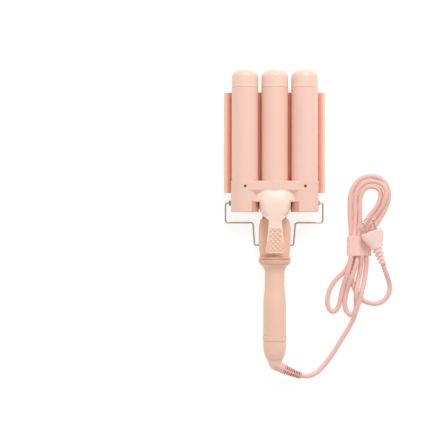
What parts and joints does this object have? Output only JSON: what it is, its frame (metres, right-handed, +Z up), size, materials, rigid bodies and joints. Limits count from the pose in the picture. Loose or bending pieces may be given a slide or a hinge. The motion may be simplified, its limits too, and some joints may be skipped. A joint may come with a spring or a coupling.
{
  "type": "hair waver",
  "caption": "Jaw-type hair waver with parallel heated barrels closing on a corrugated plate, thumb lever, fold-out wire stand and swivel mains lead.",
  "frame": {"origin": "bottom centre of the waver's box, on the table under it, without the free lead", "axes": "+X across the barrels, +Y towards the barrel tips, +Z up out of the table"},
  "size_m": [0.2119, 0.3828, 0.0456],
  "materials": {
    "pink_barrel": "satin ceramic coat",
    "pink_tip": "satin, heat resistant",
    "pink_housing": "satin moulding",
    "pale_lever": "semi-gloss moulding",
    "tan_pad": "dotted grip insert",
    "tan_neck": "satin moulding",
    "peach_grip": "satin moulding",
    "rose_plate": "satin ceramic coat",
    "pink_cord": "matte PVC",
    "pink_tie": "matte PVC",
    "wire_steel": "drawn wire",
    "screw_steel": "plain",
    "pin_steel": "ground",
    "spring_steel": "drawn wire",
    "blade_metal": "nickel plated",
    "clamp_aluminium": "plain",
    "ceramic": "ceramic and film",
    "board_green": "laminate",
    "switch_black": "moulded",
    "smoked_window": "clear smoked",
    "button_white": "semi-gloss",
    "wire_black": "insulated wire",
    "wire_white": "glass-sleeved wire",
    "grey_washer": "nylon"
  },
  "bodies": {
    "handle": {"rear_housing": "tan_neck", "wave_plate": "rose_plate", "plate_screws": "screw_steel", "hinge_pin": "pin_steel", "return_spring": "spring_steel", "neck_cover": "tan_neck", "collar_ring": "peach_grip", "grip_front": "peach_grip", "grip_back": "peach_grip", "grip_screws": "screw_steel", "trim_ring": "peach_grip", "end_cap": "peach_grip", "circuit_board": "board_green", "key_switches": "switch_black", "temperature_display": "switch_black", "display_window": "smoked_window", "supply_wires": "wire_black", "heater_wires": "wire_white"},
    "barrel_jaw": {"front_housing": "pink_housing", "socket_base_left": "pink_housing", "socket_base_right": "pink_housing", "base_screws": "screw_steel", "lever": "pale_lever", "thumb_pad": "tan_pad", "barrel_left": "pink_barrel", "barrel_middle": "pink_barrel", "barrel_right": "pink_barrel", "tip_left": "pink_tip", "tip_middle": "pink_tip", "tip_right": "pink_tip", "heat_spreaders": "clamp_aluminium", "ceramic_heaters": "ceramic", "thermal_fuse": "ceramic", "barrel_screws": "screw_steel"},
    "stand": {"stand_wire": "wire_steel"},
    "cord_swivel": {"cord_elbow": "pink_cord", "swivel_retainer": "grey_washer", "strain_relief": "pink_cord", "cord_lead": "pink_cord", "cord_hank": "pink_cord", "cord_tie": "pink_tie", "cord_tail": "pink_cord", "plug_body": "pink_tie", "plug_relief": "pink_tie", "plug_blades": "blade_metal"},
    "power_key": {"power_button": "button_white"},
    "warmer_key": {"warmer_button": "button_white"},
    "cooler_key": {"cooler_button": "button_white"}
  },
  "joints": [
    {"name": "jaw_hinge", "type": "hinge", "parent": "handle", "child": "barrel_jaw", "pos_m": [0, 0.003, 0.022], "axis": [1, 0, 0], "range_deg": [0, 12], "stiffness_Nm_per_rad": 1.2, "springref_deg": -20.05, "deforming": ["return_spring", "heater_wires"]},
    {"name": "stand_hinge", "type": "hinge", "parent": "handle", "child": "stand", "pos_m": [0, 0.0143, 0.006], "axis": [1, 0, 0], "range_deg": [0, 75]},
    {"name": "cord_swivel_turn", "type": "hinge", "parent": "handle", "child": "cord_swivel", "pos_m": [0, -0.1785, 0.02], "axis": [0, 1, 0], "continuous": true},
    {"name": "power_press", "type": "slide", "parent": "handle", "child": "power_key", "axis": [0, 0, 1], "range_m": [0, 0.0006], "stiffness_N_per_m": 500},
    {"name": "warmer_press", "type": "slide", "parent": "handle", "child": "warmer_key", "axis": [0, 0, 1], "range_m": [0, 0.0006], "stiffness_N_per_m": 500},
    {"name": "cooler_press", "type": "slide", "parent": "handle", "child": "cooler_key", "axis": [0, 0, 1], "range_m": [0, 0.0006], "stiffness_N_per_m": 500}
  ]
}
